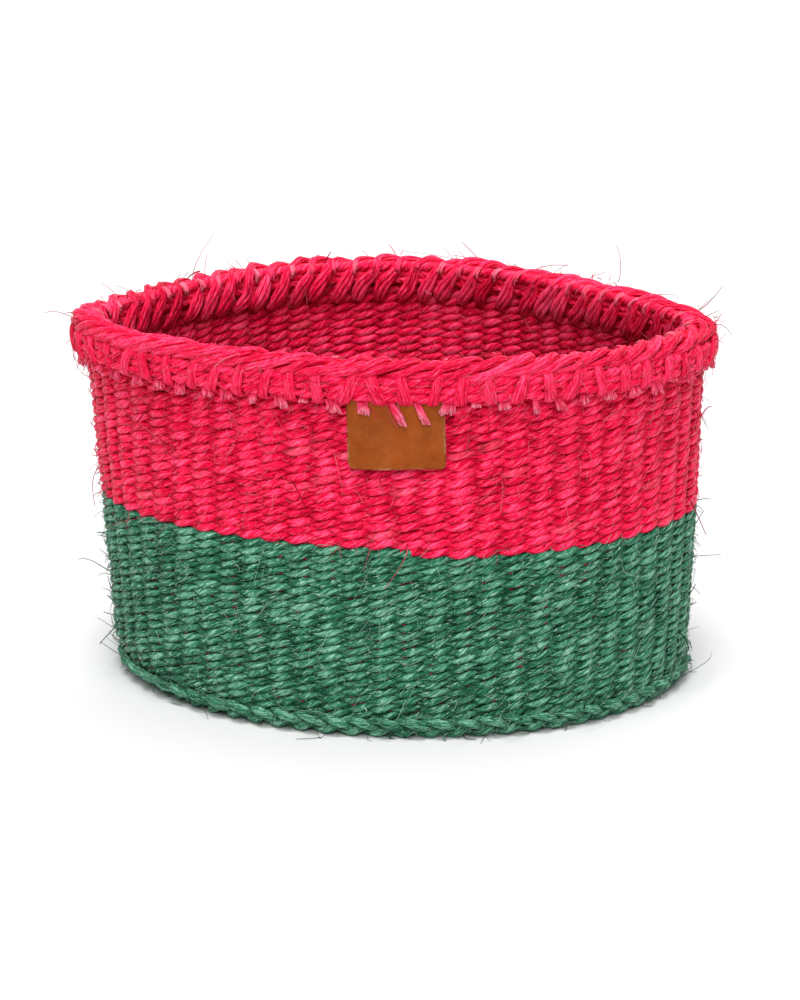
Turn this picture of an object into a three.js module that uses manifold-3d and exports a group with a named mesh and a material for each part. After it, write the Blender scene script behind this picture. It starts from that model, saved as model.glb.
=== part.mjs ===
// A hand-twined sisal basket, pressed oval. Millimetres, +Z up.
// The origin is on the surface that the basket stands on, at the middle of its length and depth.
// X runs from the tight fold (-X) to the soft fold (+X), and -Y is the front, with the tab.
import * as THREE from 'three';
import { mergeVertices } from 'three/addons/utils/BufferGeometryUtils.js';
import Module from 'manifold-3d';

const wasm = await Module();
wasm.setup();

// Cords
const warpDiameter = 1.6;
const weftDiameter = 1.6;
const cordClearance = 0.3;      // between cords that lie against each other
const middleHairpins = 8;       // warps laid at the middle of the base; the wall has 8 times as many legs
const frontShare = 0.47;        // of the legs, those from the tight fold to the soft fold, along the front

// Rim, measured on the middle surface of the wall
const rimReach = 112;           // from the middle out to each fold
const rimFrontDepth = 71;       // from the line of the folds to the front
const rimBackDepth = 90;        // and to the back
const rimWidthPower = { frontLeft: 1.62, frontRight: 2.33, backLeft: 2.41, backRight: 1.55 };
const rimDepthPower = { frontLeft: 1.93, frontRight: 1.58, backLeft: 1.01, backRight: 1.29 };

// Foot, measured the same way
const footReach = 97.5;
const footDepth = 74;
const footForward = 5.3;        // its middle, from the middle of the line of the folds, along X
const footBackward = 5.6;       // and along Y
const footWidthPower = 2.21;
const footDepthPower = 1.72;

// Heights
const basketHeight = 138.5;
const colourHeight = 70;        // where green gives way to pink
const edgeHeight = 16;          // the wall curves out from the foot up to here, and is straight above
const taperShare = 0.43;        // how much of the wall's lean is in the straight part

// Foot plait
const plaitHeight = 4.6;
const plaitProud = 1.4;         // how far it stands out past the wall
const plaitRound = 1.0;
const baseLift = 0.6;           // the base clears the surface by this much

// Rim pieces
const braidHeight = 7.6;
const braidProudOutside = 3.5;  // how far it stands out past the wall on each side
const braidProudInside = 2.2;
const braidRound = 2.4;
const bandHeight = 6.6;
const bandThickness = 4.0;
const bandRound = 1.4;
const wrapHeight = 9.2;
const wrapThickness = 3.0;
const wrapRound = 1.4;

// Leather tab
const tabWidth = 33.5;
const tabDrop = 24.2;           // what hangs below the band
const tabTuck = 4;              // what is held behind the band
const tabThickness = 1.6;
const tabCornerRadius = 2.5;
const tabMiddle = 7.9;          // how far its middle lies from the basket's, towards the soft fold

// Base: how far out from the middle each set of warps starts, as a share of the way to the edge
const firstBend = 0.06;
const secondBend = 0.28;
const thirdBend = 0.53;
const bendLength = 0.03;        // from the bend to where the two legs run side by side

// Values that follow from the ones above
const columns = 8 * middleHairpins;
const frontColumns = Math.round(frontShare * columns);
const backColumns = columns - frontColumns;
const stepsPerColumn = 8;
const foldSoftening = 7;        // steps on each side that a fold is rounded over
const channel = warpDiameter / 2 + cordClearance;
const wallHalf = channel + weftDiameter;
const foldLine = (rimFrontDepth - rimBackDepth) / 2;
const braidBottom = basketHeight - braidHeight;
const wallTop = braidBottom - cordClearance;
const bandBottom = wallTop - bandHeight;
const wrapBottom = wallTop - wrapHeight;
const baseUnder = { low: baseLift, high: baseLift + weftDiameter };
const warpHeight = baseUnder.high + channel;
const baseOver = { low: warpHeight + channel, high: warpHeight + wallHalf };
const outerStart = plaitHeight + cordClearance;
const innerStart = baseOver.high + cordClearance;
const edgeLevels = [0.6 * edgeHeight, edgeHeight];
const pinkStart = colourHeight + cordClearance;

// One closed body from corners and faces, turned so that its faces point out.
function closedBody(corners, faces) {
  let volume = 0;
  for (const [a, b, c] of faces) {
    volume += corners[a].dot(corners[b].clone().cross(corners[c]));
  }
  const turned = volume < 0 ? faces.map(([a, b, c]) => [a, c, b]) : faces;
  const geometry = new THREE.BufferGeometry();
  const positions = corners.flatMap((corner) => corner.toArray());
  geometry.setAttribute('position', new THREE.Float32BufferAttribute(positions, 3));
  geometry.setIndex(turned.flat());
  geometry.computeVertexNormals();
  return geometry;
}

// A body through equal sections: a ring of them, or a run with a flat end at each side.
function loft(sections, isRing) {
  const size = sections[0].length;
  const corners = sections.flat();
  const faces = [];
  const spans = isRing ? sections.length : sections.length - 1;
  for (let i = 0; i < spans; i += 1) {
    const here = i * size;
    const next = ((i + 1) % sections.length) * size;
    for (let j = 0; j < size; j += 1) {
      const k = (j + 1) % size;
      faces.push([here + j, here + k, next + k], [here + j, next + k, next + j]);
    }
  }
  if (!isRing) {
    const last = (sections.length - 1) * size;
    for (let j = 1; j < size - 1; j += 1) {
      faces.push([0, j + 1, j], [last, last + j, last + j + 1]);
    }
  }
  return closedBody(corners, faces);
}

// A flat disc between two outlines, closed over the middle.
function disc(lowOutline, highOutline, middle) {
  const count = lowOutline.length;
  const lowMiddle = new THREE.Vector3(middle.x, middle.y, lowOutline[0].z);
  const highMiddle = new THREE.Vector3(middle.x, middle.y, highOutline[0].z);
  const corners = [...lowOutline, ...highOutline, lowMiddle, highMiddle];
  const faces = [];
  for (let i = 0; i < count; i += 1) {
    const j = (i + 1) % count;
    faces.push([2 * count, j, i], [2 * count + 1, count + i, count + j]);
    faces.push([i, j, count + j], [i, count + j, count + i]);
  }
  return closedBody(corners, faces);
}

// A half outline from one fold to the other, as evenly spaced points.
function halfOutline(side, count) {
  const dense = [];
  const denseSteps = 40 * count;
  for (let i = 0; i <= denseSteps; i += 1) {
    const across = -Math.cos((Math.PI * i) / denseSteps);
    const along = Math.sin((Math.PI * i) / denseSteps);
    const corner = across < 0 ? 'left' : 'right';
    dense.push(new THREE.Vector2(
      side.x + side.reach * Math.sign(across) * Math.abs(across) ** (2 / side.widthPower[corner]),
      side.y + side.depth * along ** (2 / side.depthPower[corner]),
    ));
  }
  const lengths = [0];
  for (let i = 1; i < dense.length; i += 1) {
    lengths.push(lengths[i - 1] + dense[i].distanceTo(dense[i - 1]));
  }
  const points = [];
  let at = 0;
  for (let i = 0; i < count; i += 1) {
    const wanted = (lengths[denseSteps] * i) / count;
    while (lengths[at + 1] < wanted) at += 1;
    const share = (wanted - lengths[at]) / (lengths[at + 1] - lengths[at]);
    points.push(dense[at].clone().lerp(dense[at + 1], share));
  }
  return points;
}

// A whole outline, counter-clockwise from the tight fold: the front, then the back.
function outline(front, back) {
  const there = halfOutline(front, frontColumns * stepsPerColumn);
  const home = halfOutline({ ...back, reach: -back.reach }, backColumns * stepsPerColumn);
  const sharp = [...there, ...home];
  return sharp.map((_, i) => {
    const sum = new THREE.Vector2();
    for (let k = -foldSoftening; k <= foldSoftening; k += 1) {
      sum.add(sharp[(i + k + sharp.length) % sharp.length]);
    }
    return sum.divideScalar(2 * foldSoftening + 1);
  });
}

const bothEnds = (power) => ({ left: power, right: power });
const footMiddle = new THREE.Vector2(footForward, foldLine + footBackward);
const footOutline = outline(
  {
    ...footMiddle,
    reach: footReach,
    depth: -footDepth,
    widthPower: bothEnds(footWidthPower),
    depthPower: bothEnds(footDepthPower),
  },
  {
    ...footMiddle,
    reach: footReach,
    depth: footDepth,
    widthPower: bothEnds(footWidthPower),
    depthPower: bothEnds(footDepthPower),
  },
);
// The back runs from the soft fold to the tight one, so its ends change places.
const rimOutline = outline(
  {
    x: 0,
    y: foldLine,
    reach: rimReach,
    depth: -rimFrontDepth,
    widthPower: { left: rimWidthPower.frontLeft, right: rimWidthPower.frontRight },
    depthPower: { left: rimDepthPower.frontLeft, right: rimDepthPower.frontRight },
  },
  {
    x: 0,
    y: foldLine,
    reach: rimReach,
    depth: rimBackDepth,
    widthPower: { left: rimWidthPower.backRight, right: rimWidthPower.backLeft },
    depthPower: { left: rimDepthPower.backRight, right: rimDepthPower.backLeft },
  },
);

// The wall's middle surface at a height, one point and one outward direction for each warp.
const wallCache = new Map();
function wallAt(height) {
  if (!wallCache.has(height)) {
    const straight = Math.min(height / wallTop, 1);
    const curved = 1 - (1 - Math.min(height / edgeHeight, 1)) ** 2;
    const upright = taperShare * straight + (1 - taperShare) * curved;
    const points = [];
    for (let i = 0; i < columns; i += 1) {
      const step = i * stepsPerColumn;
      points.push(footOutline[step].clone().lerp(rimOutline[step], upright));
    }
    const facing = points.map((point, i) => {
      const next = points[(i + 1) % columns].clone().sub(point);
      return new THREE.Vector2(next.y, -next.x).normalize();
    });
    // Each corner moves out by the mitre that keeps both of its facets parallel.
    const outward = facing.map((next, i) => {
      const last = facing[(i + columns - 1) % columns];
      const middle = last.clone().add(next).normalize();
      return middle.divideScalar(middle.dot(next));
    });
    wallCache.set(height, { points, outward });
  }
  return wallCache.get(height);
}

// A point of the wall at a warp, which may lie between two, a distance out from the middle surface.
function wallPoint(column, height, out) {
  const { points, outward } = wallAt(height);
  const low = Math.floor(column);
  const corner = (i) => {
    const k = (i + columns) % columns;
    return points[k].clone().addScaledVector(outward[k], out);
  };
  const place = corner(low).lerp(corner(low + 1), column - low);
  return new THREE.Vector3(place.x, place.y, height);
}

const eachColumn = (make) => Array.from({ length: columns }, (_, column) => make(column));
const ringOutline = (height, out) => eachColumn((column) => wallPoint(column, height, out));

// A ring round the wall with the section given as [out, height] corners.
function wallRing(section) {
  const sectionAt = (column) => section.map(([out, height]) => wallPoint(column, height, out));
  return loft(eachColumn(sectionAt), true);
}

// The corners of a ring's section on one side, from the bottom up, with the edges cut off round.
function roundedSide(out, round, bottom, top) {
  const near = out - Math.sign(out) * round;
  return [[near, bottom], [out, bottom + round], [out, top - round], [near, top]];
}

// The outside or inside face of the twined weft, between two distances from the middle surface.
function weftFace(from, to, levels) {
  const up = levels.map((height) => [to, height]);
  const down = [...levels].reverse().map((height) => [from, height]);
  return wallRing([...up, ...down]);
}

// A cord of square section along a run of stations, mitred at each so that it keeps its width.
// A station in the wall also says which way the wall runs there, and the cord lies flat against it.
function cordBody(stations, diameter) {
  const half = (diameter / 2) * Math.SQRT1_2;
  const heading = (i) => stations[i + 1].point.clone().sub(stations[i].point).normalize();
  let lastSide = null;
  const sections = stations.map(({ point, wallRun }, i) => {
    const arriving = heading(Math.max(i - 1, 0));
    const leaving = heading(Math.min(i, stations.length - 2));
    const along = arriving.clone().add(leaving).normalize();
    const bend = leaving.clone().sub(arriving).normalize();
    const widening = 1 / along.dot(leaving) - 1;
    const level = new THREE.Vector3(0, 0, 1).cross(along);
    const side = wallRun && level.length() < 0.5 ? wallRun.clone() : level;
    side.addScaledVector(along, -side.dot(along)).normalize();
    if (lastSide && side.dot(lastSide) < 0) side.negate();
    lastSide = side;
    const other = along.clone().cross(side);
    return [[1, 1], [-1, 1], [-1, -1], [1, -1]].map(([a, b]) => {
      const out = side.clone().multiplyScalar(a * half).addScaledVector(other, b * half);
      return out.addScaledVector(bend, out.dot(bend) * widening).add(point);
    });
  });
  return loft(sections, false);
}

// A place in the wall's middle at a warp, and the level direction in which the wall runs there.
function wallStation(column, height) {
  const outward = wallAt(height).outward[column];
  const wallRun = new THREE.Vector3(-outward.y, outward.x, 0).normalize();
  return { point: wallPoint(column, height, 0), wallRun };
}

// A point of the base at the warps' height, a share of the way from its middle to the wall.
function basePoint(column, share) {
  const edge = wallPoint((column + columns) % columns, warpHeight, 0);
  const middle = new THREE.Vector3(footMiddle.x, footMiddle.y, warpHeight);
  return middle.lerp(edge, share);
}

// Where a warp's leg runs, outwards: [column, share] in the base, then up its column of the wall.
function legStations(route) {
  const column = route[route.length - 1][0];
  const inBase = route.map(([at, share]) => ({ point: basePoint(at, share) }));
  const levels = [innerStart, ...edgeLevels, colourHeight, wallTop];
  return [...inBase, ...levels.map((height) => wallStation(column, height))];
}

// The three sets of warps. Where a set starts, the legs inside it move aside to let it in, so
// that the legs end up evenly spread. Places are counted in columns of the wall.
function firstSetRoute(leg) {
  const second = 2 * leg + (leg % 2);
  const third = 2 * second + (second % 2);
  return [
    [4 * leg + 1.5, firstBend + bendLength],
    [4 * leg + 1.5, secondBend - bendLength],
    [2 * second + 0.5, secondBend + bendLength],
    [2 * second + 0.5, thirdBend - bendLength],
    [third, thirdBend + bendLength],
    [third, 1],
  ];
}
function secondSetRoute(leg) {
  const second = 2 * leg + (leg % 2 === 0 ? 1 : 0);
  const third = 2 * second + (second % 2);
  return [
    [2 * second + 0.5, secondBend + bendLength],
    [2 * second + 0.5, thirdBend - bendLength],
    [third, thirdBend + bendLength],
    [third, 1],
  ];
}
function thirdSetRoute(leg) {
  const third = 2 * leg + (leg % 2 === 0 ? 1 : 0);
  return [
    [third, thirdBend + bendLength],
    [third, 1],
  ];
}

// A doubled cord: up one leg, and down the other.
function hairpin(route, firstLeg, bendShare) {
  const left = route(firstLeg);
  const right = route(firstLeg + 1);
  const bend = { point: basePoint((left[0][0] + right[0][0]) / 2, bendShare) };
  return cordBody([...legStations(left).reverse(), bend, ...legStations(right)], warpDiameter);
}

function warpBodies() {
  const bodies = [];
  for (let leg = 0; leg < columns / 4; leg += 2) bodies.push(hairpin(firstSetRoute, leg, firstBend));
  for (let leg = 0; leg < columns / 4; leg += 2) bodies.push(hairpin(secondSetRoute, leg, secondBend));
  for (let leg = 0; leg < columns / 2; leg += 2) bodies.push(hairpin(thirdSetRoute, leg, thirdBend));
  return bodies;
}

// The place along the front, in columns, that lies at a given x.
function frontColumnAt(x, height) {
  const { points } = wallAt(height);
  let column = 0;
  while (points[column + 1].x < x) column += 1;
  return column + (x - points[column].x) / (points[column + 1].x - points[column].x);
}

// The leather tab, bent along the wall, or the pocket round it, which is larger by a clearance.
function tabBody(clearance) {
  const back = wallHalf + cordClearance - clearance;
  const front = wallHalf + cordClearance + tabThickness + clearance;
  const top = bandBottom + tabTuck + clearance;
  const bottom = bandBottom - tabDrop - clearance;
  const tabColumn = frontColumnAt(tabMiddle, bandBottom);
  const { points } = wallAt(bandBottom);
  const nearest = Math.floor(tabColumn);
  const columnWidth = points[nearest].distanceTo(points[nearest + 1]);
  const halfWidth = tabWidth / 2 + clearance;
  const stations = [-1, -0.7, 0, 0.7, 1].map((turn) => turn * tabCornerRadius);
  const offsets = [];
  for (const turn of stations.slice(0, 3)) offsets.push(-halfWidth + tabCornerRadius + turn);
  for (const share of [-0.5, 0, 0.5]) offsets.push(share * (halfWidth - tabCornerRadius));
  for (const turn of stations.slice(2)) offsets.push(halfWidth - tabCornerRadius + turn);
  const sections = offsets.map((offset) => {
    const past = Math.max(Math.abs(offset) - (halfWidth - tabCornerRadius), 0);
    const cut = tabCornerRadius - Math.sqrt(tabCornerRadius ** 2 - past ** 2);
    const column = tabColumn + offset / columnWidth;
    return [[back, bottom + cut], [front, bottom + cut], [front, top - cut], [back, top - cut]]
      .map(([out, height]) => wallPoint(column, height, out));
  });
  return loft(sections, false);
}

function toManifold(geometry) {
  const bare = geometry.clone();
  bare.deleteAttribute('normal');
  const merged = mergeVertices(bare);
  return new wasm.Manifold(new wasm.Mesh({
    numProp: 3,
    vertProperties: new Float32Array(merged.attributes.position.array),
    triVerts: new Uint32Array(merged.index.array),
  }));
}

function fromManifold(manifold) {
  const mesh = manifold.getMesh();
  const geometry = new THREE.BufferGeometry();
  geometry.setAttribute('position', new THREE.BufferAttribute(new Float32Array(mesh.vertProperties), 3));
  geometry.setIndex([...mesh.triVerts]);
  geometry.computeVertexNormals();
  return geometry;
}

// Materials
const greenSisal = { color: '#2f7f5c', roughness: 0.85, metalness: 0 };
const pinkSisal = { color: '#d61c50', roughness: 0.85, metalness: 0 };
const crimsonSisal = { color: '#a31238', roughness: 0.9, metalness: 0 };
const tanLeather = { color: '#9c5a2a', roughness: 0.6, metalness: 0 };

const group = new THREE.Group();
function addPiece(name, geometry, finish) {
  const mesh = new THREE.Mesh(geometry, new THREE.MeshStandardMaterial(finish));
  mesh.name = name;
  group.add(mesh);
}

// Base
const edgeInside = wallHalf + cordClearance / 2;
addPiece(
  'base_under_weft',
  disc(ringOutline(baseUnder.low, -edgeInside), ringOutline(baseUnder.high, -edgeInside), footMiddle),
  greenSisal,
);
addPiece(
  'base_over_weft',
  disc(ringOutline(baseOver.low, -channel), ringOutline(baseOver.high, -channel), footMiddle),
  greenSisal,
);

// Foot plait: it wraps the turn of the warps from outside and below, with a flat underside.
const plaitOut = wallHalf + plaitProud;
const plaitInside = edgeInside - cordClearance;
addPiece(
  'foot_plait',
  wallRing([
    [-plaitInside, 0],
    [plaitOut - plaitRound, 0],
    [plaitOut, plaitRound],
    [plaitOut, plaitHeight - plaitRound],
    [plaitOut - plaitRound, plaitHeight],
    [channel + cordClearance, plaitHeight],
    [channel + cordClearance, baseUnder.high],
    [-plaitInside, baseUnder.high],
  ]),
  greenSisal,
);

// Walls
const greenLevels = [innerStart, ...edgeLevels, colourHeight];
const pinkLevels = [pinkStart, wallTop];
addPiece('green_outer_weft', weftFace(channel, wallHalf, [outerStart, ...greenLevels]), greenSisal);
addPiece('green_inner_weft', weftFace(-channel, -wallHalf, greenLevels), greenSisal);
addPiece('pink_outer_weft', weftFace(channel, wallHalf, pinkLevels), pinkSisal);
addPiece('pink_inner_weft', weftFace(-channel, -wallHalf, pinkLevels), pinkSisal);

// Warps
warpBodies().forEach((body, i) => {
  addPiece(`warp_${String(i + 1).padStart(2, '0')}`, body, crimsonSisal);
});

// Rim: the braid sits on top of the wall, the band lies against its outside and the wraps against
// its inside. The band makes room for the tab, which is held behind it.
addPiece(
  'rim_braid',
  wallRing([
    ...roundedSide(-wallHalf - braidProudInside, braidRound, braidBottom, basketHeight),
    ...roundedSide(wallHalf + braidProudOutside, braidRound, braidBottom, basketHeight).reverse(),
  ]),
  pinkSisal,
);

const besideWall = wallHalf + cordClearance;
const band = wallRing([
  [besideWall, bandBottom],
  [besideWall, wallTop],
  ...roundedSide(besideWall + bandThickness, bandRound, bandBottom, wallTop).reverse(),
]);
const pocket = tabBody(cordClearance);
addPiece('rim_outer_band', fromManifold(toManifold(band).subtract(toManifold(pocket))), pinkSisal);

addPiece(
  'rim_inner_wraps',
  wallRing([
    [-besideWall, wrapBottom],
    [-besideWall, wallTop],
    ...roundedSide(-besideWall - wrapThickness, wrapRound, wrapBottom, wallTop).reverse(),
  ]),
  pinkSisal,
);

addPiece('leather_tab', tabBody(0), tanLeather);

export default group;
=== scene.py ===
"""Looks of a hand-twined sisal basket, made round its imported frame.

Laid out as an add-on and run as a script: each piece or group of like pieces is one operator,
and main() calls them in order. Metres, +Z up, with the front at -Y.
"""
import math

import bmesh
import bpy
import numpy as np
from bpy.props import FloatProperty, FloatVectorProperty, IntProperty, PointerProperty
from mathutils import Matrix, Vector


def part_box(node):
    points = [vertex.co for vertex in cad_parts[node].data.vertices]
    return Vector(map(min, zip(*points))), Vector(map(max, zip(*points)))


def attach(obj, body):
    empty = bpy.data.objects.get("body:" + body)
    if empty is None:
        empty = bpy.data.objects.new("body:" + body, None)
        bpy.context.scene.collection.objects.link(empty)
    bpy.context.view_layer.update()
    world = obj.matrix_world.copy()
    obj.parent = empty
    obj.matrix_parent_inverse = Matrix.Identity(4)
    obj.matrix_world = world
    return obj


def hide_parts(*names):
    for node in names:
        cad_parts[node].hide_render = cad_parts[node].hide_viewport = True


bl_info = {
    "name": "Twined sisal basket",
    "version": (1, 0, 0),
    "blender": (4, 5, 0),
    "location": "3D View > Sidebar > Basket",
    "description": "Builds the cords, rim, foot and leather tab of a twined basket",
    "category": "Add Mesh",
}

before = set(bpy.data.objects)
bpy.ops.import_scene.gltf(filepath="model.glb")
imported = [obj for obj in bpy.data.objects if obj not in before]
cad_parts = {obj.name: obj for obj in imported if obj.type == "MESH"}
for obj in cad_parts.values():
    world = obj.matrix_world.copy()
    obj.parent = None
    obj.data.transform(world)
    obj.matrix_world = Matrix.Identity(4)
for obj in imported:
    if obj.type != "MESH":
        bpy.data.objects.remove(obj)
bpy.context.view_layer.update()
MM = 0.001
COLUMNS = 64                # warps round the wall
FRONT_COLUMNS = 30          # of them, from the tight fold to the soft one along the front
FINE = 8                    # steps of the outline to a column
COLUMN_WIDTH = 9.2          # mm from warp to warp
HIDDEN_COLUMN = 47.0        # at the back, where the weft's cords start and change colour
FOOT_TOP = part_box("foot_plait")[1].z
COLOUR_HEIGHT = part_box("green_outer_weft")[1].z
WALL_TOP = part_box("rim_outer_band")[1].z
RIM_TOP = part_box("rim_braid")[1].z
BASE_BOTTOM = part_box("base_under_weft")[0].z
BASE_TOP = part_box("base_over_weft")[1].z
WARP_HEIGHT = (BASE_BOTTOM + BASE_TOP) / 2

# Where each set of warps starts, as a share of the way from the base's middle to its edge
FIRST_BEND = 0.06
SECOND_BEND = 0.28
THIRD_BEND = 0.53
# How far the fibre pattern is moved on from one cord of a piece to the next, in metres
PATTERN_SHIFT = 0.0377
# Radius of a yarn as a share of its cord's radius, by how many yarns the cord has
YARN_SHARE = {3: 0.62, 4: 0.54, 6: 0.42}

# Routes over the rim, as (columns along, mm out from the wall's middle, mm below the rim's top)
LASHING_ROUTE = np.array([
    (0.0, 2.2, 6.7), (0.35, 3.9, 5.8), (0.85, 4.4, 4.7), (1.35, 4.1, 3.5), (1.85, 2.8, 2.2),
    (2.25, 0.1, 1.8), (2.55, -2.8, 3.2), (2.75, -4.4, 5.9), (2.98, -4.8, 9.9),
    (3.25, -4.5, 13.9), (3.45, -3.0, 17.1)])
KNOT_ROUTE = ((0.0, -1.6, 1.9), (0.05, -4.4, 2.2), (0.1, -5.9, 3.9), (0.12, -5.6, 5.9))
LOOP_ROUTE = (
    (0.06, 2.3, 4.9), (0.05, 4.7, 5.9), (0.0, 5.7, 8.3), (-0.02, 5.8, 11.9),
    (-0.05, 5.2, 14.8), (-0.06, 2.4, 15.9))
# The cords inside the rim, as (mm out, mm below the rim's top, radius in mm, turns of their yarns)
CORE_CORDS = (
    (0.5, 4.3, 2.2, 60), (-2.5, 3.9, 2.2, -66), (-2.1, 6.9, 1.8, 58), (-2.6, 9.3, 1.5, 71),
    (2.4, 6.9, 1.6, 77))
# The cords of the band, as (mm below the rim's top, turns of their yarns, row of chance)
BAND_CORDS = ((7.9, -55, 4), (10.5, -52, 0), (13.1, -47, 9))
# The cut ends, as (length in mm, half width in mm, how pale their tips are), and how many are so
CUT_KINDS = ((2.4, 1.9, 0.9), (4.2, 2.3, 0.8), (5.2, 2.2, 0.7), (6.6, 1.5, 0.7))
CUT_SHARES = (0.26, 0.3, 0.32, 0.12)


class BasketShape(bpy.types.PropertyGroup):
    """The outlines of the rim and the foot, and how the wall leans between them."""

    rim_reach: FloatProperty(
        name="Rim reach", description="From the middle to each fold",
        default=112 * MM, unit="LENGTH")
    rim_front: FloatProperty(
        name="Rim front", description="From the line of the folds to the front",
        default=71 * MM, unit="LENGTH")
    rim_back: FloatProperty(
        name="Rim back", description="From the line of the folds to the back",
        default=90 * MM, unit="LENGTH")
    rim_width_power: FloatVectorProperty(
        name="Rim width powers", description="Front left, front right, back right, back left",
        size=4, default=(1.62, 2.33, 1.55, 2.41))
    rim_depth_power: FloatVectorProperty(
        name="Rim depth powers", description="Front left, front right, back right, back left",
        size=4, default=(1.93, 1.58, 1.29, 1.01))
    foot_reach: FloatProperty(
        name="Foot reach", description="From the foot's middle to its ends",
        default=97.5 * MM, unit="LENGTH")
    foot_depth: FloatProperty(
        name="Foot depth", description="From the foot's middle to its front and back",
        default=74 * MM, unit="LENGTH")
    foot_middle: FloatVectorProperty(
        name="Foot middle", description="From the middle of the line of the folds",
        size=2, default=(5.3 * MM, 5.6 * MM), unit="LENGTH")
    foot_powers: FloatVectorProperty(
        name="Foot powers", description="Of its width and its depth",
        size=2, default=(2.21, 1.72))
    edge_height: FloatProperty(
        name="Edge height", description="The wall curves out from the foot up to here",
        default=16 * MM, unit="LENGTH")
    taper_share: FloatProperty(
        name="Taper", description="How much of the lean is in the straight part",
        default=0.43, subtype="FACTOR")
    fold_softening: IntProperty(
        name="Fold softening", description="Steps that a fold is rounded over",
        default=7)


class BasketWeave(bpy.types.PropertyGroup):
    """The twined cords."""

    half_wall: FloatProperty(
        name="Cord offset", description="From the wall's middle to a cord that lies outside",
        default=1.06 * MM, unit="LENGTH")
    rise: FloatProperty(
        name="Rise", description="How far a cord climbs and drops as it twines",
        default=0.86 * MM, unit="LENGTH")
    cord_fullness: FloatProperty(
        name="Cord fullness", description="Height of a stitch at its middle, in rows",
        default=1.1, subtype="FACTOR", soft_max=2.0)
    cord_depth: FloatProperty(
        name="Cord depth", description="Of a stitch, at its middle",
        default=2.4 * MM, unit="LENGTH")
    green_row: FloatProperty(
        name="Green row", description="Height of a row in the lower wall",
        default=3.04 * MM, unit="LENGTH")
    pink_row: FloatProperty(
        name="Pink row", description="Height of a row in the upper wall",
        default=3.2 * MM, unit="LENGTH")
    base_rows: IntProperty(
        name="Base rows", description="Rounds of twining in the base", default=26)
    warp: FloatProperty(
        name="Warp", description="Width of a warp", default=4.6 * MM, unit="LENGTH")
    unevenness: FloatProperty(
        name="Unevenness", description="How far the hand weaving wanders",
        default=1.0, subtype="FACTOR")
    seed: IntProperty(name="Seed", description="Of all that is left to chance", default=11)


class BasketColours(bpy.types.PropertyGroup):
    """The dyed cords and the leather."""

    green: FloatVectorProperty(
        name="Green", description="Of the lower weft", subtype="COLOR",
        default=(0.027, 0.172, 0.088))
    pink: FloatVectorProperty(
        name="Pink", description="Of the upper weft and the rim", subtype="COLOR",
        default=(0.90, 0.005, 0.058))
    crimson: FloatVectorProperty(
        name="Crimson", description="Of the warps", subtype="COLOR",
        default=(0.20, 0.009, 0.018))
    leather: FloatVectorProperty(
        name="Leather", description="Of the tab", subtype="COLOR",
        default=(0.27, 0.054, 0.006))


def periodic(table, index):
    """Values of a closed table of numbers at places that may lie between its entries."""
    low = np.floor(index).astype(int)
    share = (index - low)[..., None]
    return table[low % len(table)] * (1 - share) + table[(low + 1) % len(table)] * share


def half_outline(middle, reach, depth, width_powers, depth_powers, count):
    """Half an outline from one fold to the other, as evenly spaced points.

    It is an oval whose roundness changes at its middle, worked out on many more points first.
    """
    turn = np.linspace(0, math.pi, 40 * count + 1)
    across = -np.cos(turn)
    along = np.clip(np.sin(turn), 0, 1)
    width_power = np.where(across < 0, width_powers[0], width_powers[1])
    depth_power = np.where(across < 0, depth_powers[0], depth_powers[1])
    x = middle[0] + reach * np.sign(across) * np.abs(across) ** (2 / width_power)
    y = middle[1] + depth * along ** (2 / depth_power)
    length = np.concatenate([[0], np.cumsum(np.hypot(np.diff(x), np.diff(y)))])
    wanted = length[-1] * np.arange(count) / count
    return np.stack([np.interp(wanted, length, x), np.interp(wanted, length, y)], 1)


def outline(front, back, softening):
    """A whole outline, counter-clockwise from the tight fold: the front, then the back.

    Its points are averaged with the ones beside them, which rounds the folds over.
    """
    there = half_outline(*front, FRONT_COLUMNS * FINE)
    home = half_outline(*back, (COLUMNS - FRONT_COLUMNS) * FINE)
    sharp = np.concatenate([there, home])
    shifts = range(-softening, softening + 1)
    return sum(np.roll(sharp, shift, axis=0) for shift in shifts) / len(shifts)


class Wall:
    """The middle surface of the wall. Places are counted in columns, metres up and metres out."""

    def __init__(self, shape):
        line = (shape.rim_front - shape.rim_back) / 2
        width = shape.rim_width_power
        depth = shape.rim_depth_power
        self.foot_middle = np.array([shape.foot_middle[0], line + shape.foot_middle[1]])
        self.rim = outline(
            ((0, line), shape.rim_reach, -shape.rim_front, width[:2], depth[:2]),
            ((0, line), -shape.rim_reach, shape.rim_back, width[2:], depth[2:]),
            shape.fold_softening)
        powers = [(power, power) for power in shape.foot_powers]
        self.foot = outline(
            (self.foot_middle, shape.foot_reach, -shape.foot_depth, *powers),
            (self.foot_middle, -shape.foot_reach, shape.foot_depth, *powers),
            shape.fold_softening)
        self.edge_height = shape.edge_height
        self.taper_share = shape.taper_share

    def middle(self, column, height):
        """Level places on the middle surface."""
        straight = np.clip(height / WALL_TOP, 0, 1.1)
        curved = 1 - (1 - np.clip(height / self.edge_height, 0, 1)) ** 2
        upright = (self.taper_share * straight + (1 - self.taper_share) * curved)[..., None]
        foot = periodic(self.foot, column * FINE)
        return foot + (periodic(self.rim, column * FINE) - foot) * upright

    def outward(self, column, height):
        """Level directions away from the basket, square to the wall."""
        near = 0.4
        run = self.middle(column + near, height) - self.middle(column - near, height)
        run /= np.linalg.norm(run, axis=-1, keepdims=True)
        return np.stack([run[..., 1], -run[..., 0]], -1)

    def place(self, column, height, out):
        """Points, as (x, y, z)."""
        column, height, out = np.broadcast_arrays(column, height, out)
        column = column.astype(float)
        height = height.astype(float)
        level = self.middle(column, height) + self.outward(column, height) * out[..., None]
        return np.concatenate([level, height[..., None]], -1)


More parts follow.
